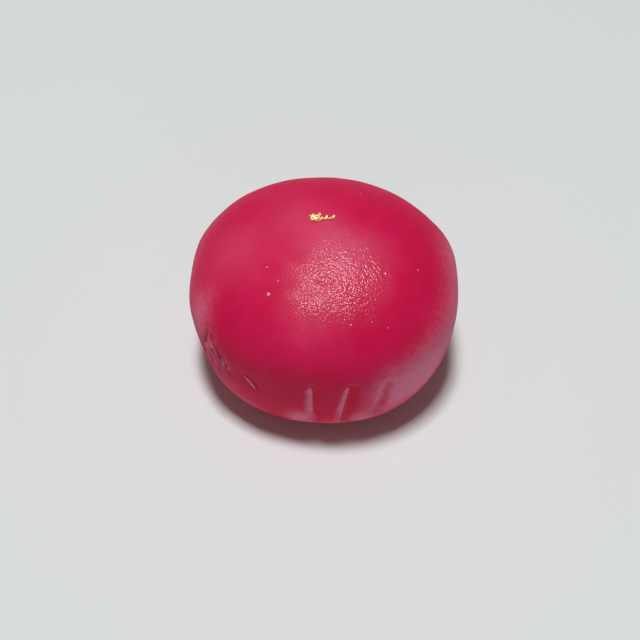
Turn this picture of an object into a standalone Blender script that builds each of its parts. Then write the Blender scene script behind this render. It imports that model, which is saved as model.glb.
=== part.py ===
"""A hand-shaped mochi rice cake, solid right through, resting on a flat spot.

+X is the cake's right, +Y its back and +Z up; the origin is the middle of its base. Units are metres.
The cake is one closed dough form. A ball of even quads is blown out, along rays from the middle of the
dough, to the skin of a field: an egg that sits on a table, with soft flats left by the maker's hands and
the marks of a round stick pressed into its front.
"""

import math

import bmesh
import bpy
import numpy as np
from mathutils import Vector, noise

MM = 0.001

# Driving sizes of the cake
WIDTH = 50.4 * MM
DEPTH = 46.4 * MM
HEIGHT = 36.0 * MM
PLAN_POWER = 2.08  # 2 is an ellipse seen from above, and more is fuller at its diagonals
TURN = -6.5  # degrees that the oval is turned about +Z
EQUATOR = 20.0 * MM  # height of the widest ring
EQUATOR_BLEND = 14.0 * MM  # band in which the dome's curve eases into the underside's
UNDERSIDE_REACH = 35.0 * MM  # how far below the equator the egg would run on without a table
BASE_ROUNDING = 8.0 * MM  # blend between the side and the resting spot

# Soft flats left by the hands: azimuth and elevation of the way each one faces, and how far it is
# pressed past the egg's own skin
FLATS = (
    (-64.0, -32.0, 0.30 * MM),
    (0.0, 4.0, 0.15 * MM),
    (43.0, 28.0, 0.15 * MM),
    (176.0, 6.0, 0.35 * MM),
    (199.0, -14.0, 0.05 * MM),
)
FLAT_BLEND = 1.2 * MM

# Unevenness of the hand-rolled dough
LUMP_SIZE = 11.0 * MM
LUMP_HEIGHT = 0.16 * MM

# Marks in the skin: azimuth and height of each one's upper and lower end
GROOVES = (
    ((-95.2, 19.4 * MM), (-95.2, 8.0 * MM)),
    ((-78.4, 19.4 * MM), (-81.3, 8.4 * MM)),
    ((-62.2, 18.2 * MM), (-65.6, 9.4 * MM)),
)
STICK_RADIUS = 1.4 * MM
STICK_PRESS = 0.65 * MM
TIP_MARKS = (((-125.6, 17.4 * MM), (-122.2, 16.1 * MM)),)  # left of the grooves
TIP_RADIUS = 0.8 * MM
TIP_PRESS = 0.35 * MM
TEARS = (  # where the skin has pulled apart at the left
    ((-148.8, 20.2 * MM), (-145.0, 14.4 * MM)),
    ((-137.5, 19.6 * MM), (-135.7, 15.8 * MM)),
)
TEAR_RADIUS = 1.1 * MM
TEAR_PRESS = 0.25 * MM
MARK_LIP = 0.7 * MM  # rounding of a mark's edge

# The ball of quads, and the windows of azimuth and elevation where it is made finer for the marks
QUADS_PER_EDGE = 22
FINE_WINDOWS = (
    ((-155.0, -55.0), (-32.0, 10.0)),
    ((-101.0, -57.0), (-30.0, 8.0)),
)
RAY_STEPS = 30  # halvings in the search for the skin


def direction(azimuth, elevation=0.0):
    """The unit vector at these angles in degrees; azimuth 0 is +X and 90 is +Y."""
    a, e = math.radians(azimuth), math.radians(elevation)
    return np.array((math.cos(a) * math.cos(e), math.sin(a) * math.cos(e), math.sin(e)))


def smooth_max(a, b, width):
    """The larger of two fields, with the edge between them rounded over that width."""
    overlap = np.maximum(width - np.abs(a - b), 0.0) / width
    return np.maximum(a, b) + overlap**2 * width / 4


def egg(points):
    """Roughly the distance outside the egg, whose underside runs deeper than its dome."""
    x, y, z = points @ direction(TURN), points @ direction(TURN + 90), points[:, 2] - EQUATOR
    ring = np.abs(x / (WIDTH / 2)) ** PLAN_POWER + np.abs(y / (DEPTH / 2)) ** PLAN_POWER
    ease = np.clip(z / EQUATOR_BLEND + 0.5, 0.0, 1.0)
    dome = ease * ease * (3 - 2 * ease)
    squash = dome / (HEIGHT - EQUATOR) ** 2 + (1 - dome) / UNDERSIDE_REACH**2
    return (np.sqrt(ring ** (2 / PLAN_POWER) + z**2 * squash) - 1) * WIDTH / 2


def egg_reach(normal):
    """How far the egg reaches along a direction from the middle of its equator."""
    partner = PLAN_POWER / (PLAN_POWER - 1)
    along, across = abs(normal @ direction(TURN)), abs(normal @ direction(TURN + 90))
    spread = ((along * WIDTH / 2) ** partner + (across * DEPTH / 2) ** partner) ** (1 / partner)
    half_height = HEIGHT - EQUATOR if normal[2] > 0 else UNDERSIDE_REACH
    return math.hypot(spread, normal[2] * half_height)


def lumps(points):
    """The dough's unevenness, as a height above or below its even skin."""
    heights = [noise.noise(Vector(point) / LUMP_SIZE) for point in points]
    return np.array(heights) * LUMP_HEIGHT


def dough(points):
    """The field of the cake before its front is marked: below zero inside, zero on the skin."""
    field = egg(points)
    middle = np.array((0.0, 0.0, EQUATOR))
    for azimuth, elevation, press in FLATS:
        normal = direction(azimuth, elevation)
        flat = (points - middle) @ normal - (egg_reach(normal) - press)
        field = smooth_max(field, flat, FLAT_BLEND)
    field -= lumps(points)
    return smooth_max(field, -points[:, 2], BASE_ROUNDING)


def rod(points, start, end, radius):
    """How deep each point is inside a round-ended rod."""
    run = end - start
    along = np.clip((points - start) @ run / (run @ run), 0.0, 1.0)
    return radius - np.linalg.norm(points - start - along[:, None] * run, axis=1)


def skin_along(field, origins, directions):
    """Where rays that start inside the field's body meet its skin."""
    near = np.zeros(len(directions))
    far = np.full(len(directions), WIDTH)
    for _ in range(RAY_STEPS):
        half = (near + far) / 2
        outside = field(origins + directions * half[:, None]) > 0
        far = np.where(outside, half, far)
        near = np.where(outside, near, half)
    return origins + directions * near[:, None]


def pressed_rod(ends, radius, press):
    """A rod pressed into the dough's side, from the azimuth and height of each of its ends."""
    outwards = np.array([direction(azimuth) for azimuth, _ in ends])
    origins = np.array([(0.0, 0.0, height) for _, height in ends])
    start, end = skin_along(dough, origins, outwards) + outwards * (radius - press)
    return start, end, radius


def marked_dough():
    """The field of the finished cake."""
    rods = [pressed_rod(ends, STICK_RADIUS, STICK_PRESS) for ends in GROOVES]
    rods += [pressed_rod(ends, TIP_RADIUS, TIP_PRESS) for ends in TIP_MARKS]
    rods += [pressed_rod(ends, TEAR_RADIUS, TEAR_PRESS) for ends in TEARS]

    def field(points):
        depth = dough(points)
        for start, end, radius in rods:
            depth = smooth_max(depth, rod(points, start, end, radius), MARK_LIP)
        return depth

    return field


def within(vert, window):
    """Whether a vertex of the unit ball lies in a window of azimuth and elevation."""
    (left, right), (low, high) = window
    azimuth = math.degrees(math.atan2(vert.co.y, vert.co.x))
    elevation = math.degrees(math.asin(max(-1.0, min(1.0, vert.co.normalized().z))))
    return left < azimuth < right and low < elevation < high


def make_ball():
    """A unit ball of even quads, finer in the windows."""
    ball = bmesh.new()
    bmesh.ops.create_cube(ball, size=2.0)
    bmesh.ops.subdivide_edges(ball, edges=ball.edges[:], cuts=QUADS_PER_EDGE - 1, use_grid_fill=True)
    for vert in ball.verts:
        # equal angles, rather than equal steps along the cube's faces, keep the quads even
        vert.co = Vector([math.tan(c * math.pi / 4) for c in vert.co]).normalized()
    for window in FINE_WINDOWS:
        edges = [edge for edge in ball.edges if all(within(vert, window) for vert in edge.verts)]
        bmesh.ops.subdivide_edges(ball, edges=edges, cuts=1, use_grid_fill=True)
        for vert in ball.verts:
            vert.co.normalize()
    return ball


def make_material():
    material = bpy.data.materials.new("crimson mochi")
    material.use_nodes = True
    shader = material.node_tree.nodes["Principled BSDF"]
    shader.inputs["Base Color"].default_value = (0.55, 0.012, 0.06, 1.0)
    shader.inputs["Roughness"].default_value = 0.4
    shader.inputs["Metallic"].default_value = 0.0
    return material


def make_rice_cake():
    ball = make_ball()
    directions = np.array([vert.co for vert in ball.verts])
    middle = np.array((0.0, 0.0, HEIGHT / 2))
    places = skin_along(marked_dough(), np.tile(middle, (len(directions), 1)), directions)
    low, high = places.min(axis=0), places.max(axis=0)
    base = np.array((*(low + high)[:2] / 2, low[2]))
    for vert, place in zip(ball.verts, places):
        vert.co = place - base
    mesh = bpy.data.meshes.new("rice_cake")
    ball.to_mesh(mesh)
    ball.free()
    mesh.shade_smooth()
    mesh.materials.append(make_material())
    cake = bpy.data.objects.new("rice_cake", mesh)
    bpy.context.scene.collection.objects.link(cake)


def main():
    for old in list(bpy.data.objects):
        bpy.data.objects.remove(old)
    make_rice_cake()


main()
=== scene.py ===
"""A crimson mochi rice cake with gold leaf and starch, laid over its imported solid.

Run as a script. Each operator makes one group of pieces, and the panel in the sidebar lists them.
"""

import math

import bmesh
import bpy
import numpy as np
from bpy.props import FloatProperty, FloatVectorProperty, IntProperty, PointerProperty
from mathutils import Matrix, Vector, noise
from mathutils.bvhtree import BVHTree


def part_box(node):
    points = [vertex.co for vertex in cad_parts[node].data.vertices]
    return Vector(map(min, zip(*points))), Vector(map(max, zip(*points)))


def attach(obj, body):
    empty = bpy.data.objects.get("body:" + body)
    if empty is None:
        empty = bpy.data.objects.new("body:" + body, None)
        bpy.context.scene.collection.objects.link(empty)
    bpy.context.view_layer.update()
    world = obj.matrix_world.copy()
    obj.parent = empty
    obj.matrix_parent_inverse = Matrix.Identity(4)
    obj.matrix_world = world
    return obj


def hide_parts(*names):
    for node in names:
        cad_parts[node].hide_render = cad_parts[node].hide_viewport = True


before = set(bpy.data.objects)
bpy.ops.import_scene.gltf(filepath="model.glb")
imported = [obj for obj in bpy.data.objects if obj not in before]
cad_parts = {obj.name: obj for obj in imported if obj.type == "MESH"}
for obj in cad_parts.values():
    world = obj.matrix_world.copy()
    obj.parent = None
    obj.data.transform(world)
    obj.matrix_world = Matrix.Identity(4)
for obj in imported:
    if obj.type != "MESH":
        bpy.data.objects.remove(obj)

bl_info = {
    "name": "Mochi rice cake",
    "version": (1, 0, 0),
    "blender": (4, 5, 0),
    "location": "3D View > Sidebar > Mochi",
    "description": "Dresses a rice cake in fine skin, starch and gold leaf",
    "category": "Add Mesh",
}

MM = 0.001
CAKE = "rice_cake"
BASE, TOP = (Vector(corner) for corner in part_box(CAKE))
MIDDLE = Vector((0.0, 0.0, (BASE.z + TOP.z) / 2))
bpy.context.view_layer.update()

# Windows of the skin that are made finer: azimuth and elevation seen from the cake's middle, in degrees
FINE_WINDOWS = (
    ((-162.0, -48.0), (-38.0, 14.0)),
    ((-160.0, -20.0), (34.0, 74.0)),
    ((-154.0, -118.0), (-14.0, 8.0)),
)
# Middle lines of the pressed grooves, from top to bottom: azimuth and height. Then how bare the right wall is
GROOVES = (
    ((-95.2, 19.4 * MM), (-95.2, 8.0 * MM), 0.95),
    ((-78.4, 19.4 * MM), (-81.3, 8.4 * MM), 0.90),
    ((-62.2, 18.2 * MM), (-65.6, 9.4 * MM), 0.40),
)
# The split patch on the left: azimuth and height of its middle, and its half sizes
TORN_PATCH = (-146.0, 18.4 * MM, 2.8 * MM, 5.0 * MM)
# Where the skin has split: azimuth and height along each crack, then its depth
CRACKS = (
    (((-149.6, 21.6 * MM), (-149.0, 19.6 * MM), (-147.4, 16.6 * MM), (-146.2, 14.6 * MM)), 0.42 * MM),
    (((-151.4, 20.4 * MM), (-150.2, 18.0 * MM), (-149.2, 15.4 * MM)), 0.30 * MM),
    (((-147.0, 19.6 * MM), (-145.8, 17.0 * MM), (-144.6, 13.6 * MM)), 0.34 * MM),
    (((-138.6, 20.2 * MM), (-137.9, 18.4 * MM), (-136.4, 16.0 * MM)), 0.40 * MM),
    (((-140.4, 19.0 * MM), (-139.2, 16.6 * MM)), 0.26 * MM),
)
CRACK_HALF_WIDTH = 0.19 * MM
FLAP_WIDTH = 0.55 * MM
# The nail mark in front of the split patch, from end to end: azimuth and height
NAIL_MARK = ((-126.2, 17.6 * MM), (-122.4, 15.6 * MM))
# Starch left on the sides: azimuth and height, their spreads, and how thick it lies. The bands at azimuths 178, -157
# and 6 run along the left and right edges seen from the front, and there the pale colour is partly painted sheen.
STARCH_AND_EDGE_SHEEN_BANDS = (
    (-18.0, 19.0 * MM, 17.0, 7.0 * MM, 0.85),
    (-40.0, 15.5 * MM, 14.0, 7.5 * MM, 1.00),
    (-56.0, 13.5 * MM, 15.0, 7.0 * MM, 0.80),
    (-60.0, 19.0 * MM, 12.0, 4.5 * MM, 0.34),
    (-72.0, 7.5 * MM, 10.0, 3.5 * MM, 0.60),
    (-101.0, 8.0 * MM, 9.0, 3.6 * MM, 0.75),
    (-87.0, 5.5 * MM, 8.0, 2.2 * MM, 0.45),
    (-150.0, 8.0 * MM, 26.0, 3.0 * MM, 0.35),
    (-157.0, 22.0 * MM, 9.0, 6.5 * MM, 0.60),
    (-144.0, 17.0 * MM, 8.0, 6.5 * MM, 0.50),
    (-128.0, 7.0 * MM, 12.0, 3.5 * MM, 0.30),
    (178.0, 22.0 * MM, 20.0, 5.5 * MM, 0.55),
    (152.0, 27.0 * MM, 18.0, 3.0 * MM, 0.30),
    (6.0, 24.0 * MM, 18.0, 5.5 * MM, 0.60),
    (120.0, 14.0 * MM, 44.0, 7.0 * MM, 0.50),
    (40.0, 14.0 * MM, 36.0, 7.0 * MM, 0.50),
)
# Painted sheen on the dome, laid on as a faint pale veil: azimuth and elevation from the middle, radius, and strength
PAINTED_SHEEN_SPOTS = (
    (-80.0, 82.0, 5.0 * MM, 0.10),
    (-52.0, 66.0, 4.5 * MM, 0.12),
    (150.0, 72.0, 6.0 * MM, 0.08),
    (-173.0, 40.0, 6.0 * MM, 0.08),
    (-100.0, 40.0, 5.0 * MM, 0.05),
)
# Rosier, brighter dough, given in the same way: partly the dough's own paler tone, partly painted light, for the glow
# on the front shoulder and the pink sheen on the top and left
ROSY_AND_PAINTED_GLOW_SPOTS = (
    (-104.0, 27.0, 4.6 * MM, 0.95),
    (-80.0, 80.0, 10.0 * MM, 0.5),
    (160.0, 50.0, 13.0 * MM, 0.3),
    (-168.0, 30.0, 9.0 * MM, 0.2),
)
# Moist, finely wrinkled dough, given in the same way
MOIST_SPOTS = (
    (-78.0, 58.0, 7.2 * MM, 1.0),
    (-46.0, 54.0, 5.0 * MM, 0.95),
    (-62.0, 45.0, 4.6 * MM, 0.85),
    (-98.0, 44.0, 5.0 * MM, 0.65),
    (-70.0, 76.0, 5.0 * MM, 0.45),
    (-166.0, 52.0, 4.0 * MM, 0.30),
    (-146.0, 43.0, 3.0 * MM, 0.25),
    (-22.0, 55.0, 5.0 * MM, 0.40),
    (-25.0, 72.0, 5.0 * MM, 0.40),
    (-92.0, 34.0, 5.0 * MM, 0.30),
)
# Where the wrinkles draw out into streaks, given in the same way
STREAKED_SPOTS = (
    (-38.0, 52.0, 6.5 * MM, 1.0),
    (-30.0, 66.0, 5.0 * MM, 0.8),
)
STREAK_CENTRE = Vector((-7.0 * MM, -21.0 * MM, 0.0))
# Single grains and pimples: azimuth and elevation from the middle, and width
GRAINS = (
    (-128.5, 42.7, 0.60 * MM),
    (-143.7, 52.1, 0.30 * MM),
    (-128.4, 50.4, 0.26 * MM),
    (57.0, 51.6, 0.26 * MM),
    (-19.6, 37.6, 0.30 * MM),
    (-19.4, 76.1, 0.20 * MM),
    (-75.2, 34.7, 0.32 * MM),
    (-87.1, 28.9, 0.20 * MM),
    (-26.5, 14.8, 0.24 * MM),
    (-56.9, 28.7, 0.24 * MM),
    (-63.7, 33.6, 0.20 * MM),
    (-147.1, 10.3, 0.36 * MM),
)


# ---------------------------------------------------------------- shader maths


class Wire:
    """An output socket in a node tree. Arithmetic on it adds Math nodes, and node() adds any other."""

    def __init__(self, tree, socket):
        self.tree = tree
        self.socket = socket

    def node(self, kind, settings=None, values=None, output=0):
        """Adds a node: its settings are set first, then the values or links of its sockets."""
        made = self.tree.nodes.new(kind)
        for name, setting in (settings or {}).items():
            if name == "stops":
                place_stops(made.color_ramp, setting)
            else:
                setattr(made, name, setting)
        for name, value in (values or {}).items():
            if isinstance(value, Wire):
                self.tree.links.new(value.socket, made.inputs[name])
            else:
                made.inputs[name].default_value = value
        return Wire(self.tree, made.outputs[output])

    def maths(self, operation, first, second=0.0):
        return self.node("ShaderNodeMath", {"operation": operation}, {0: first, 1: second})

    def __add__(self, other):
        return self.maths("ADD", self, other)

    __radd__ = __add__

    def __sub__(self, other):
        return self.maths("SUBTRACT", self, other)

    def __rsub__(self, other):
        return self.maths("SUBTRACT", other, self)

    def __mul__(self, other):
        return self.maths("MULTIPLY", self, other)

    __rmul__ = __mul__

    def at_most(self, other):
        return self.maths("MINIMUM", self, other)

    def at_least(self, other):
        return self.maths("MAXIMUM", self, other)

    def step(self, low, high, start=0.0, end=1.0):
        """Eases from start to end as this value goes from low to high."""
        ranges = {"From Min": low, "From Max": high, "To Min": start, "To Max": end}
        settings = {"interpolation_type": "SMOOTHSTEP"}
        return self.node("ShaderNodeMapRange", settings, {"Value": self, **ranges})

    def tint(self, first, second):
        """Mixes two colours, with this value as the share of the second."""
        return self.node("ShaderNodeMix", {"data_type": "RGBA"}, {0: self, 6: first, 7: second}, output=2)

    def speckle(self, size, detail=2.0, roughness=0.5):
        """Noise on this position whose blotches are about that size."""
        values = {"Vector": self, "Scale": 1 / size, "Detail": detail, "Roughness": roughness}
        return self.node("ShaderNodeTexNoise", None, values)

    def stretched(self, turn, scale):
        """This position turned and scaled, for a pattern with a grain."""
        return self.node("ShaderNodeMapping", None, {"Vector": self, "Rotation": turn, "Scale": scale})

    def bump(self, relief):
        """The normal of a relief given in metres."""
        return self.node("ShaderNodeBump", None, {"Height": relief, "Strength": 1.0, "Distance": 1.0})

    def vector(self, operation, other=None, scale=None, output=0):
        values = {0: self}
        if other is not None:
            values[1] = other
        if scale is not None:
            values["Scale"] = scale
        return self.node("ShaderNodeVectorMath", {"operation": operation}, values, output)

    def attribute(self, name):
        return self.node("ShaderNodeAttribute", {"attribute_name": name}, None, output=2)


def place_stops(ramp, stops):
    while len(ramp.elements) < len(stops):
        ramp.elements.new(1.0)
    for element, (position, color) in zip(ramp.elements, stops):
        element.position = position
        element.color = color


def new_material(name):
    """A material with its Principled shader and a wire that carries Object coordinates."""
    material = bpy.data.materials.new(name)
    material.use_nodes = True
    tree = material.node_tree
    shader = tree.nodes["Principled BSDF"]
    coordinates = tree.nodes.new("ShaderNodeTexCoord")
    return material, shader, Wire(tree, coordinates.outputs["Object"])


def plug(wire, shader, socket):
    wire.tree.links.new(wire.socket, shader.inputs[socket])


def linear(color, alpha=1.0):
    return (*color, alpha)


# ---------------------------------------------------------------- places and meshes


def direction(azimuth, elevation=0.0):
    """The unit vector at these angles in degrees; azimuth 0 is +X and 90 is +Y."""
    a, e = math.radians(azimuth), math.radians(elevation)
    return Vector((math.cos(a) * math.cos(e), math.sin(a) * math.cos(e), math.sin(e)))


def soft_step(value, low, high):
    share = np.clip((value - low) / (high - low), 0.0, 1.0)
    return share * share * (3 - 2 * share)


def smooth_solid():
    """A smoothed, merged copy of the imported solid, to cast places onto."""
    merged = bmesh.new()
    merged.from_mesh(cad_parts[CAKE].data)
    bmesh.ops.remove_doubles(merged, verts=merged.verts, dist=0.001 * MM)
    flat = math.radians(12)
    settings = {"angle_face_threshold": flat, "angle_shape_threshold": math.radians(60)}
    bmesh.ops.join_triangles(merged, faces=merged.faces, **settings)
    mesh = bpy.data.meshes.new("smooth_solid")
    merged.to_mesh(mesh)
    merged.free()
    solid = bpy.data.objects.new("smooth_solid", mesh)
    bpy.context.scene.collection.objects.link(solid)
    subdivision = solid.modifiers.new("smooth", "SUBSURF")
    subdivision.levels = subdivision.render_levels = 1
    tree = BVHTree.FromObject(solid, bpy.context.evaluated_depsgraph_get())
    bpy.data.objects.remove(solid)
    bpy.data.meshes.remove(mesh)
    return tree


def cast_out(tree, way, start=MIDDLE):
    """Where a ray from the middle of the cake leaves it."""
    place, normal, _, _ = tree.ray_cast(start, way)
    if place is None:
        raise RuntimeError(f"a ray along {tuple(way)} misses the cake")
    return place, normal


def side_point(tree, azimuth, height):
    return cast_out(tree, direction(azimuth), Vector((0.0, 0.0, height)))[0]


def finish_piece(name, made, material, smooth=True):
    """Makes an object of a bmesh that is already in place, and rides it on the cake."""
    bmesh.ops.recalc_face_normals(made, faces=made.faces)
    mesh = bpy.data.meshes.new(name)
    made.to_mesh(mesh)
    made.free()
    if smooth:
        mesh.shade_smooth()
    mesh.materials.append(material)
    piece = bpy.data.objects.new(name, mesh)
    bpy.context.scene.collection.objects.link(piece)
    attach(piece, "root")
    return piece


def within(vert, window):
    (left, right), (low, high) = window
    azimuth = math.degrees(math.atan2(vert.co.y, vert.co.x))
    elevation = math.degrees(math.asin(max(-1.0, min(1.0, vert.co.z))))
    return left < azimuth < right and low < elevation < high


def fine_ball(cuts):
    """A unit ball of even quads, finer in the windows."""
    ball = bmesh.new()
    bmesh.ops.create_cube(ball, size=2.0)
    bmesh.ops.subdivide_edges(ball, edges=ball.edges[:], cuts=cuts - 1, use_grid_fill=True)
    for vert in ball.verts:
        vert.co = Vector([math.tan(c * math.pi / 4) for c in vert.co]).normalized()
    for window in FINE_WINDOWS:
        edges = [edge for edge in ball.edges if all(within(vert, window) for vert in edge.verts)]
        bmesh.ops.subdivide_edges(ball, edges=edges, cuts=1, use_grid_fill=True)
        for vert in ball.verts:
            vert.co.normalize()
    return ball


# ---------------------------------------------------------------- skin


def noise_at(points, size, seed):
    """Smooth noise about -1 to 1 at each point, in blotches of that size."""
    offset = Vector((seed, 2.3 * seed, 3.1 * seed))
    return np.array([noise.noise(Vector(point) / size + offset) for point in points])


def path_distance(points, path):
    """How far each point is from a path, how far along it, and how far to its right seen from outside."""
    best = np.full(len(points), np.inf)
    along = np.zeros(len(points))
    aside = np.zeros(len(points))
    for leg, (start, end) in enumerate(zip(path[:-1], path[1:])):
        run = np.array(end - start)
        share = np.clip((points - np.array(start)) @ run / (run @ run), 0.0, 1.0)
        offset = points - np.array(start) - share[:, None] * run
        distance = np.linalg.norm(offset, axis=1)
        nearer = distance < best
        out = np.array(((start + end) / 2).xy.to_3d().normalized())
        right = np.cross(out, run)
        right /= np.linalg.norm(right)
        best = np.where(nearer, distance, best)
        along = np.where(nearer, (leg + share) / (len(path) - 1), along)
        aside = np.where(nearer, offset @ right, aside)
    return best, along, aside


def spotted(tree, places, spots):
    """How strongly each point lies in a set of round, soft-edged spots."""
    left = np.ones(len(places))
    for azimuth, elevation, radius, strength in spots:
        middle, _ = cast_out(tree, direction(azimuth, elevation))
        distance = np.linalg.norm(places - np.array(middle), axis=1)
        left *= 1 - strength * np.exp(-((distance / radius) ** 2))
    return 1 - left


def turned_from(azimuth, around):
    """Degrees from one azimuth to others, the short way."""
    return (azimuth - around + 180) % 360 - 180


def banded(azimuth, height, bands):
    """How thickly starch lies at each point; on the side edges this is partly painted sheen."""
    bare = np.ones(len(azimuth))
    for around, up, spread, rise, thickness in bands:
        falloff = np.exp(-((turned_from(azimuth, around) / spread) ** 2) - ((height - up) / rise) ** 2)
        bare *= 1 - thickness * falloff
    return 1 - bare


def hump(value, middle, half_width):
    return np.exp(-(((value - middle) / half_width) ** 2))


def dust_grooves(tree, places, masks):
    """Leaves starch on the left wall of each groove and moist dough on its right wall."""
    crumbs = noise_at(places, 0.5 * MM, 5.0)
    wander = noise_at(places, 2.0 * MM, 6.0)
    for top, bottom, bareness in GROOVES:
        path = [side_point(tree, *top), side_point(tree, *bottom)]
        distance, along, aside = path_distance(places, path)
        aside = aside + 0.22 * MM * wander
        near = soft_step(-distance, -3.2 * MM, -2.2 * MM)
        wide = (0.8 + 0.8 * along) * MM
        strip = soft_step(-aside, -0.05 * MM, 0.25 * MM) * hump(np.maximum(-aside, 0.35 * MM), 0.35 * MM, wide)
        strip *= soft_step(along, -0.03, 0.1)
        strip *= (1 - 0.3 * soft_step(along, 0.6, 1.0)) * (1 + 0.6 * crumbs * (1 - along))
        wall = hump(aside, 0.95 * MM, 0.75 * MM) * soft_step(along, -0.05, 0.12) * (1 - 0.7 * soft_step(along, 0.8, 1.0))
        masks["starch"] *= 1 - bareness * wall * near
        masks["starch"] = np.maximum(masks["starch"], 0.85 * strip * near)
        masks["deep"] = np.maximum(masks["deep"], bareness * wall * near)


def tear_skin(tree, places, azimuth, height, masks):
    """Splits the skin on the left into cracks and lifted flaps, and returns how far each point moves."""
    around, up, half_wide, half_high = TORN_PATCH
    reach = np.linalg.norm(places[:, :2], axis=1)
    across = np.radians(turned_from(azimuth, around)) * reach
    patch = np.exp(-((across / half_wide) ** 2) - ((height - up) / half_high) ** 2)
    sliding = np.column_stack([across + 0.3 * (height - up), (height - up) * 0.22, np.zeros(len(places))])
    ridges = 1 - 2 * np.abs(noise_at(sliding, 0.8 * MM, 8.0))
    rise = 0.6 * MM * patch * (ridges - 0.6)
    masks["starch"] = np.maximum(masks["starch"], 0.85 * patch * soft_step(ridges, 0.45, 1.0))
    masks["torn"] = soft_step(patch, 0.15, 0.6) * soft_step(-ridges, -0.5, -0.1)

    wobble = 1 + 0.5 * noise_at(places, 0.8 * MM, 3.0)
    shifted = places + 0.35 * MM * np.column_stack([noise_at(places, 1.1 * MM, seed) for seed in (11.0, 12.0, 13.0)])
    for places_on_crack, deep in CRACKS:
        path = [side_point(tree, *place) for place in places_on_crack]
        distance, along, aside = path_distance(shifted, path)
        taper = soft_step(along, 0.0, 0.15) * (1 - soft_step(along, 0.8, 1.0))
        cut = hump(distance, 0.0, CRACK_HALF_WIDTH * wobble) * taper
        flap = hump(distance, FLAP_WIDTH, 0.28 * MM) * taper * (aside > 0)
        rise += 0.2 * MM * flap * wobble - deep * cut
        masks["torn"] = np.maximum(masks["torn"], cut)
        masks["starch"] = np.maximum(masks["starch"], 0.9 * flap)
    return rise


def mark_nail(tree, places, masks):
    """Fills the small dent in front with a pale, lens-shaped lip, and returns how far each point moves."""
    path = [side_point(tree, *place) for place in NAIL_MARK]
    distance, along, aside = path_distance(places, path)
    half_width = (0.2 + 0.45 * np.sin(np.pi * along)) * MM
    lens = soft_step(half_width - np.abs(aside), -0.12 * MM, 0.15 * MM) * soft_step(-distance, -0.75 * MM, -0.3 * MM)
    masks["starch"] = np.maximum(masks["starch"], (0.55 + 0.4 * np.abs(2 * along - 1)) * lens)
    return (0.34 + 0.1 * aside / (0.6 * MM)) * MM * lens


def sculpt_skin(tree, places, normals):
    """Moves the skin's points for its unevenness, tears and marks, and returns its masks."""
    azimuth = np.degrees(np.arctan2(places[:, 1], places[:, 0]))
    height = places[:, 2]
    lift = noise_at(places, 7 * MM, 1.0) * 0.07 * MM
    lift += noise_at(places, 3.4 * MM, 4.0) * 0.035 * MM + noise_at(places, 1.7 * MM, 2.0) * 0.010 * MM
    # The first of the rosy spots, the painted glow on the front shoulder, also swells the skin there
    lift += 0.12 * MM * spotted(tree, places, ROSY_AND_PAINTED_GLOW_SPOTS[:1])

    # The deep mask is painted light low on the body, where it gives the lower sides a brighter, fuller red; the
    # grooves add bare dough to it
    masks = {"starch": banded(azimuth, height, STARCH_AND_EDGE_SHEEN_BANDS), "deep": 0.75 * soft_step(-height, -17 * MM, -8 * MM)}
    masks["starch"] = np.maximum(masks["starch"], 0.22 * soft_step(-height, -4.0 * MM, -1.0 * MM))
    dust_grooves(tree, places, masks)
    lift += tear_skin(tree, places, azimuth, height, masks)
    lift += mark_nail(tree, places, masks)
    # Painted sheen: pale spots on the dome where the skin shows a soft shine
    masks["bloom"] = spotted(tree, places, PAINTED_SHEEN_SPOTS)
    # Rosier dough, partly painted light: the glow on the front shoulder and the pink sheen on the top and left
    masks["rosy"] = spotted(tree, places, ROSY_AND_PAINTED_GLOW_SPOTS)
    masks["streaked"] = spotted(tree, places, STREAKED_SPOTS)
    ragged = 0.35 * noise_at(places, 3.0 * MM, 7.0)
    masks["moist"] = soft_step(spotted(tree, places, MOIST_SPOTS) + ragged, 0.05, 1.1)
    lift *= soft_step(height, 0.3 * MM, 2.5 * MM)
    places += normals * lift[:, None]
    return {name: np.clip(mask, 0, 1) for name, mask in masks.items()}


def streaks_round(place, centre):
    """Fine wrinkles drawn out along arcs round a centre."""
    offset = place.vector("SUBTRACT", centre).vector("MULTIPLY", (1.0, 1.0, 0.0))
    radius = offset.vector("LENGTH", output=1)
    way = offset.vector("NORMALIZE").vector("SCALE", scale=20.0)
    out = place.node("ShaderNodeCombineXYZ", None, {"Z": radius * (1 / (0.42 * MM))})
    return way.vector("ADD", out).speckle(1.0, 1.6, 0.5)


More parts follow.
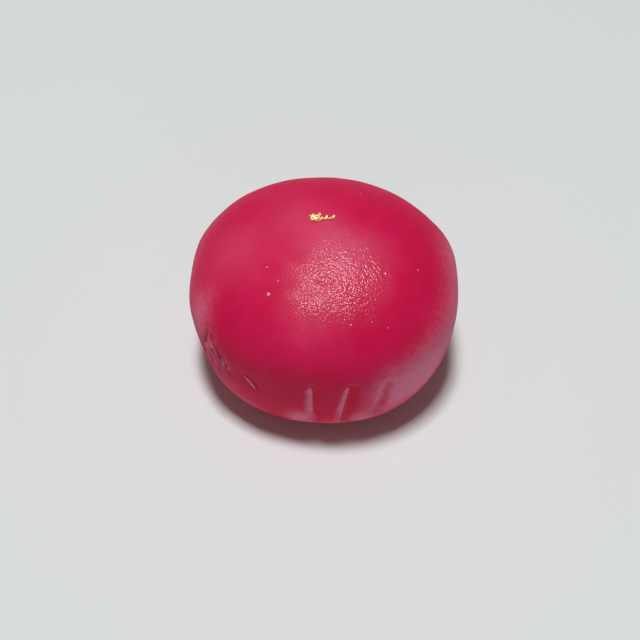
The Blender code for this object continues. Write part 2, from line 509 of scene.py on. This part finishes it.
def skin_material(settings):
    material, moist_dough, place = new_material("mochi_skin")
    starch, deep, torn, bloom, rosy, moist, streaked = (
        place.attribute(name) for name in ("starch", "deep", "torn", "bloom", "rosy", "moist", "streaked")
    )
    crimson, rose, dark = (linear(color) for color in (settings.crimson, settings.rose, settings.dark))

    broad = place.speckle(9 * MM, 3).step(0.35, 0.65)
    cloudy = place.speckle(2.5 * MM, 4, 0.6).step(0.3, 0.7)
    # Random rose blotches, plus the rosy spots, whose painted glow and sheen brighten the dough
    color = (0.3 * broad + 0.15 * cloudy + 0.6 * rosy).at_most(1.0).tint(crimson, rose)
    # Deep red: bare dough in the grooves, and painted light that brightens the lower body
    color = deep.tint(color, dark)

    dust = place.speckle(0.9 * MM, 5, 0.7)
    dry = (starch + (dust - 0.5) * 0.5 * starch.step(0.02, 0.3)).step(0.08, 1.0)
    pores = place.speckle(0.55 * MM, 2, 0.7).step(0.66, 0.76) * place.speckle(2.2 * MM, 2).step(0.4, 0.6)
    dry = dry * (1 - 0.8 * pores)
    # Starch, its painted edge sheen and the painted sheen on the dome all whiten the dough
    starch_and_sheen = dry * settings.starch_strength + bloom * (0.6 + 0.8 * dust)
    color = starch_and_sheen.at_most(1.0).tint(color, linear(settings.starch))
    color = (torn * 0.85).tint(color, linear(settings.crack))

    patchy = place.speckle(3 * MM, 3, 0.6)
    rough = 0.5 - (0.5 - settings.gloss) * moist + 0.1 * patchy + 0.3 * dry
    fine = place.speckle(0.3 * MM, 2, 0.6)
    pebbles = place.speckle(0.4 * MM, 1.6, 0.5) * (1 - 0.5 * streaked)
    relief = settings.wrinkle * (0.1 + moist) * (pebbles + 0.75 * streaks_round(place, STREAK_CENTRE) * streaked)
    relief = relief + 0.05 * MM * dry * fine

    dull_dough = place.tree.nodes.new("ShaderNodeBsdfPrincipled")
    bumped = place.bump(relief)
    for shader, bend in ((moist_dough, 1.42), (dull_dough, 1.14)):
        plug(color, shader, "Base Color")
        plug(rough.at_most(0.95), shader, "Roughness")
        plug(bumped, shader, "Normal")
        shader.inputs["IOR"].default_value = bend
        shader.inputs["Subsurface Weight"].default_value = 0.15
        shader.inputs["Subsurface Radius"].default_value = (1.0, 0.25, 0.3)
        shader.inputs["Subsurface Scale"].default_value = 1.5 * MM
    share = (moist + 0.5 * torn + 0.15).at_most(1.0)
    shades = {0: share, 1: Wire(place.tree, dull_dough.outputs[0]), 2: Wire(place.tree, moist_dough.outputs[0])}
    both = place.node("ShaderNodeMixShader", None, shades)
    output = place.tree.nodes["Material Output"]
    place.tree.links.new(both.socket, output.inputs["Surface"])
    return material


class SkinSettings(bpy.types.PropertyGroup):
    cuts: IntProperty(name="Fineness", description="Quads along an edge of the ball", default=88, min=8)
    crimson: FloatVectorProperty(
        name="Crimson", description="Main colour of the dough", subtype="COLOR", default=(0.575, 0.004, 0.056)
    )
    # Rose also colours the painted glow and sheen of the rosy spots
    rose: FloatVectorProperty(
        name="Rose", description="Paler blotches in the dough", subtype="COLOR", default=(0.67, 0.013, 0.10)
    )
    # Deep red: bare dough in the grooves, and also painted light that makes the lower body a brighter, fuller red
    dark: FloatVectorProperty(
        name="Deep red", description="Bare, moist dough in the grooves", subtype="COLOR", default=(0.66, 0.001, 0.046)
    )
    crack: FloatVectorProperty(
        name="Crack", description="Shaded dough deep in the cracks", subtype="COLOR", default=(0.27, 0.003, 0.03)
    )
    # Starch colour, also used for the painted sheen on the dome and side edges
    starch: FloatVectorProperty(
        name="Starch", description="Dry starch on the skin", subtype="COLOR", default=(0.90, 0.36, 0.53)
    )
    starch_strength: FloatProperty(name="Starch cover", description="Share where it lies thickest", default=0.6)
    gloss: FloatProperty(name="Roughness", description="Roughness of the moist skin", default=0.16)
    wrinkle: FloatProperty(
        name="Wrinkle depth", description="Depth of the finest wrinkles", default=0.0002, unit="LENGTH", precision=6
    )


class MOCHI_OT_skin(bpy.types.Operator):
    """Lay the fine skin over the solid cake"""

    bl_idname = "mochi.skin"
    bl_label = "Skin"

    def execute(self, context):
        settings = context.scene.mochi_skin
        tree = smooth_solid()
        ball = fine_ball(settings.cuts)
        for vert in ball.verts:
            vert.co = cast_out(tree, vert.co.copy())[0]
        for _ in range(3):
            bmesh.ops.smooth_vert(ball, verts=ball.verts, factor=0.5)
        ball.normal_update()
        places = np.array([vert.co for vert in ball.verts])
        places[:, 2] = np.maximum(places[:, 2], BASE.z)
        masks = sculpt_skin(tree, places, np.array([vert.normal for vert in ball.verts]))
        for vert, place in zip(ball.verts, places):
            vert.co = place
        skin = finish_piece("mochi_skin", ball, skin_material(settings))
        for name, mask in masks.items():
            skin.data.attributes.new(name, "FLOAT", "POINT").data.foreach_set("value", mask)
        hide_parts(CAKE)
        return {"FINISHED"}


# ---------------------------------------------------------------- gold leaf


def gold_material(settings):
    material, shader, place = new_material("gold_leaf")
    glint_noise = place.speckle(0.35 * MM, 3)
    # Painted glints and shade: fine noise mixes pale gold over deep orange gold across the leaf
    color = glint_noise.step(0.35, 0.65).tint(linear(settings.gold), linear(settings.glint_gold))
    plug(color, shader, "Base Color")
    plug(0.3 + 0.25 * glint_noise, shader, "Roughness")
    plug(place.bump(0.02 * MM * place.speckle(0.15 * MM, 2)), shader, "Normal")
    shader.inputs["Metallic"].default_value = 0.55
    return material


def crumpled_flake(made, tree, middle, size, turn, seed):
    """Adds one ragged, crumpled flake of leaf that lies on the skin at that place on the top."""
    grid = bmesh.new()
    bmesh.ops.create_grid(grid, x_segments=14, y_segments=9, size=0.5)
    ragged = []
    for vert in grid.verts:
        edge = max(abs(vert.co.x), abs(vert.co.y)) * 2
        if edge + 0.5 * noise.noise(vert.co * 5 + Vector((seed, 0, 0))) > 0.86:
            ragged.append(vert)
    bmesh.ops.delete(grid, geom=ragged, context="VERTS")
    spin = Matrix.Rotation(math.radians(turn), 3, "Z")
    for vert in grid.verts:
        flat = spin @ Vector((vert.co.x * size[0], vert.co.y * size[1], 0.0))
        wave = noise.noise_vector(flat / (0.45 * MM) + Vector((0, seed, 0)))
        fine = noise.noise_vector(flat / (0.2 * MM) + Vector((seed, 0, 0)))
        start = Vector((middle[0] + flat.x + wave.x * 0.16 * MM, middle[1] + flat.y + wave.y * 0.16 * MM, 0.03))
        floor, _ = cast_out(tree, Vector((0, 0, 1)), Vector((start.x, start.y, 0.03)))
        rise = 0.22 * MM + wave.z * 0.26 * MM + fine.z * 0.1 * MM
        vert.co = Vector((start.x, start.y, floor.z + max(rise, 0.03 * MM)))
    bmesh.ops.solidify(grid, geom=grid.faces[:], thickness=0.02 * MM)
    flake = bpy.data.meshes.new("flake")
    grid.to_mesh(flake)
    grid.free()
    made.from_mesh(flake)
    bpy.data.meshes.remove(flake)


class LeafSettings(bpy.types.PropertyGroup):
    # The deep orange gold is the leaf's colour darkened to paint the shade between its folds, and the pale gold
    # paints the glints on them
    gold: FloatVectorProperty(
        name="Gold", description="Colour of the leaf", subtype="COLOR", default=(0.85, 0.42, 0.03)
    )
    glint_gold: FloatVectorProperty(
        name="Pale gold", description="Colour of its brighter folds", subtype="COLOR", default=(1.0, 0.93, 0.55)
    )


class MOCHI_OT_gold_leaf(bpy.types.Operator):
    """Set the crumb of gold leaf on the top"""

    bl_idname = "mochi.gold_leaf"
    bl_label = "Gold leaf"

    FLAKES = (
        ((-2.05 * MM, 2.75 * MM), (1.5 * MM, 1.3 * MM), 32.0),
        ((-1.7 * MM, 2.05 * MM), (1.6 * MM, 1.0 * MM), -12.0),
        ((-1.1 * MM, 2.5 * MM), (1.3 * MM, 1.2 * MM), -50.0),
        ((-0.7 * MM, 3.2 * MM), (0.5 * MM, 1.2 * MM), 12.0),
        ((-0.5 * MM, 2.1 * MM), (1.1 * MM, 0.8 * MM), 15.0),
        ((0.4 * MM, 2.3 * MM), (0.5 * MM, 1.3 * MM), -20.0),
        ((1.15 * MM, 2.15 * MM), (1.2 * MM, 0.5 * MM), 25.0),
        ((1.65 * MM, 2.6 * MM), (0.5 * MM, 1.1 * MM), -15.0),
    )

    def execute(self, context):
        tree = smooth_solid()
        made = bmesh.new()
        for seed, (middle, size, turn) in enumerate(self.FLAKES):
            crumpled_flake(made, tree, middle, size, turn, 1.7 * seed + 0.4)
        finish_piece("gold_leaf", made, gold_material(context.scene.mochi_leaf))
        return {"FINISHED"}


# ---------------------------------------------------------------- starch grains


def grain_material():
    material, shader, place = new_material("starch_grain")
    mottle = place.speckle(0.3 * MM, 3).step(0.3, 0.7)
    plug(mottle.tint((0.72, 0.20, 0.34, 1.0), (0.86, 0.52, 0.64, 1.0)), shader, "Base Color")
    plug(0.5 + 0.2 * mottle, shader, "Roughness")
    shader.inputs["Subsurface Weight"].default_value = 0.1
    shader.inputs["Subsurface Scale"].default_value = 1 * MM
    return material


class MOCHI_OT_starch_grains(bpy.types.Operator):
    """Stick the single grains of starch on the skin"""

    bl_idname = "mochi.starch_grains"
    bl_label = "Starch grains"

    def execute(self, context):
        tree = smooth_solid()
        made = bmesh.new()
        for seed, (azimuth, elevation, width) in enumerate(GRAINS):
            place, normal = cast_out(tree, direction(azimuth, elevation))
            ball = bmesh.ops.create_icosphere(made, subdivisions=3, radius=width / 2)
            turned = normal.to_track_quat("Z", "Y").to_matrix()
            for vert in ball["verts"]:
                shape = vert.co * (1 + 0.5 * noise.noise(vert.co / (0.45 * width) + Vector((seed, 0, 0))))
                shape.z *= 0.55
                vert.co = place + turned @ shape
        finish_piece("starch_grains", made, grain_material())
        return {"FINISHED"}


# ---------------------------------------------------------------- stage


class StageSettings(bpy.types.PropertyGroup):
    elevation: FloatProperty(name="Camera height", description="Degrees that the camera looks down", default=51.85)
    distance: FloatProperty(name="Camera distance", description="From the aim", default=0.244, unit="LENGTH")
    aim: FloatVectorProperty(
        name="Aim", description="Where the camera looks", subtype="TRANSLATION", default=(-0.00072, -0.0065, 0.018)
    )
    lens: FloatProperty(name="Lens", description="Focal length in millimetres", default=74.8)
    floor: FloatVectorProperty(
        name="Floor", description="Colour of the floor", subtype="COLOR", default=(0.755, 0.78, 0.78)
    )
    lamp: FloatProperty(name="Lamp", description="Power of the soft lamp overhead", default=11.6, unit="POWER")
    fill: FloatProperty(name="Fill", description="Power of the weak light in front", default=0.5, unit="POWER")
    backdrop: FloatProperty(name="Backdrop", description="Brightness of the pale surroundings", default=0.7)
    sky: FloatProperty(name="Sky", description="Strength of the even light all round", default=0.075)


def seen_directly(tree):
    """1 for rays from the camera, also by way of gloss or glass, and 0 for those that light the cake."""
    ways = tree.nodes.new("ShaderNodeLightPath").outputs
    camera, glossy, clear = (Wire(tree, ways[f"Is {kind} Ray"]) for kind in ("Camera", "Glossy", "Transmission"))
    return (camera + glossy + clear).at_most(1.0)


def make_floor(settings):
    """A pale floor that fades into the pale surroundings."""
    material, shader, place = new_material("floor")
    faint = place.speckle(0.08, 2)
    shade = faint.tint(linear([c * 0.98 for c in settings.floor]), linear(settings.floor))
    plug(shade, shader, "Base Color")
    shader.inputs["Roughness"].default_value = 0.7
    glow = place.node("ShaderNodeEmission", None, {"Color": linear([settings.backdrop] * 3)})
    far = place.vector("LENGTH", output=1).step(0.18, 0.7) * seen_directly(place.tree)
    both = place.node("ShaderNodeMixShader", None, {0: far, 1: Wire(place.tree, shader.outputs[0]), 2: glow})
    place.tree.links.new(both.socket, place.tree.nodes["Material Output"].inputs["Surface"])
    made = bmesh.new()
    bmesh.ops.create_grid(made, x_segments=1, y_segments=1, size=2.0)
    mesh = bpy.data.meshes.new("floor")
    made.to_mesh(mesh)
    made.free()
    mesh.materials.append(material)
    floor = bpy.data.objects.new("floor", mesh)
    floor.location.z = BASE.z
    bpy.context.scene.collection.objects.link(floor)


def make_lights(settings):
    world = bpy.data.worlds.new("sky")
    world.use_nodes = True
    background = world.node_tree.nodes["Background"]
    background.inputs["Color"].default_value = (1.0, 1.0, 1.0, 1.0)
    strength = settings.sky + (settings.backdrop - settings.sky) * seen_directly(world.node_tree)
    plug(strength, background, "Strength")
    bpy.context.scene.world = world
    make_lamp("lamp", settings.lamp, (0.21, 0.17), Vector((-0.045, -0.05, 1.2)))
    make_lamp("fill", settings.fill, (0.6, 0.3), Vector((0.0, -0.9, 0.28)))


def make_lamp(name, power, size, place):
    lamp = bpy.data.lights.new(name, "AREA")
    lamp.shape = "RECTANGLE"
    lamp.size, lamp.size_y = size
    lamp.energy = power
    holder = bpy.data.objects.new(name, lamp)
    holder.location = place
    holder.rotation_euler = (place - MIDDLE).to_track_quat("Z", "Y").to_euler()
    bpy.context.scene.collection.objects.link(holder)


def make_camera(settings):
    lens = bpy.data.cameras.new("camera")
    lens.lens = settings.lens
    lens.clip_start = 0.01
    camera = bpy.data.objects.new("camera", lens)
    back = direction(-90.0, settings.elevation)
    camera.location = Vector(settings.aim) + back * settings.distance
    camera.rotation_euler = back.to_track_quat("Z", "Y").to_euler()
    bpy.context.scene.collection.objects.link(camera)
    bpy.context.scene.camera = camera


class MOCHI_OT_stage(bpy.types.Operator):
    """Set the floor, the lights and the camera"""

    bl_idname = "mochi.stage"
    bl_label = "Stage"

    def execute(self, context):
        settings = context.scene.mochi_stage
        context.scene.view_settings.view_transform = "Standard"
        make_floor(settings)
        make_lights(settings)
        make_camera(settings)
        return {"FINISHED"}


class MOCHI_PT_panel(bpy.types.Panel):
    """Lists the steps that dress the cake"""

    bl_label = "Mochi rice cake"
    bl_idname = "MOCHI_PT_panel"
    bl_space_type = "VIEW_3D"
    bl_region_type = "UI"
    bl_category = "Mochi"

    def draw(self, context):
        for step in STEPS:
            self.layout.operator(step.bl_idname)


SETTINGS = (SkinSettings, LeafSettings, StageSettings)
STEPS = (MOCHI_OT_skin, MOCHI_OT_gold_leaf, MOCHI_OT_starch_grains, MOCHI_OT_stage)


def register():
    for kind in (*SETTINGS, *STEPS, MOCHI_PT_panel):
        bpy.utils.register_class(kind)
    bpy.types.Scene.mochi_skin = PointerProperty(type=SkinSettings)
    bpy.types.Scene.mochi_leaf = PointerProperty(type=LeafSettings)
    bpy.types.Scene.mochi_stage = PointerProperty(type=StageSettings)


def unregister():
    del bpy.types.Scene.mochi_skin
    del bpy.types.Scene.mochi_leaf
    del bpy.types.Scene.mochi_stage
    for kind in reversed((*SETTINGS, *STEPS, MOCHI_PT_panel)):
        bpy.utils.unregister_class(kind)


def main():
    register()
    bpy.ops.mochi.skin()
    bpy.ops.mochi.gold_leaf()
    bpy.ops.mochi.starch_grains()
    bpy.ops.mochi.stage()


if __name__ == "__main__":
    main()
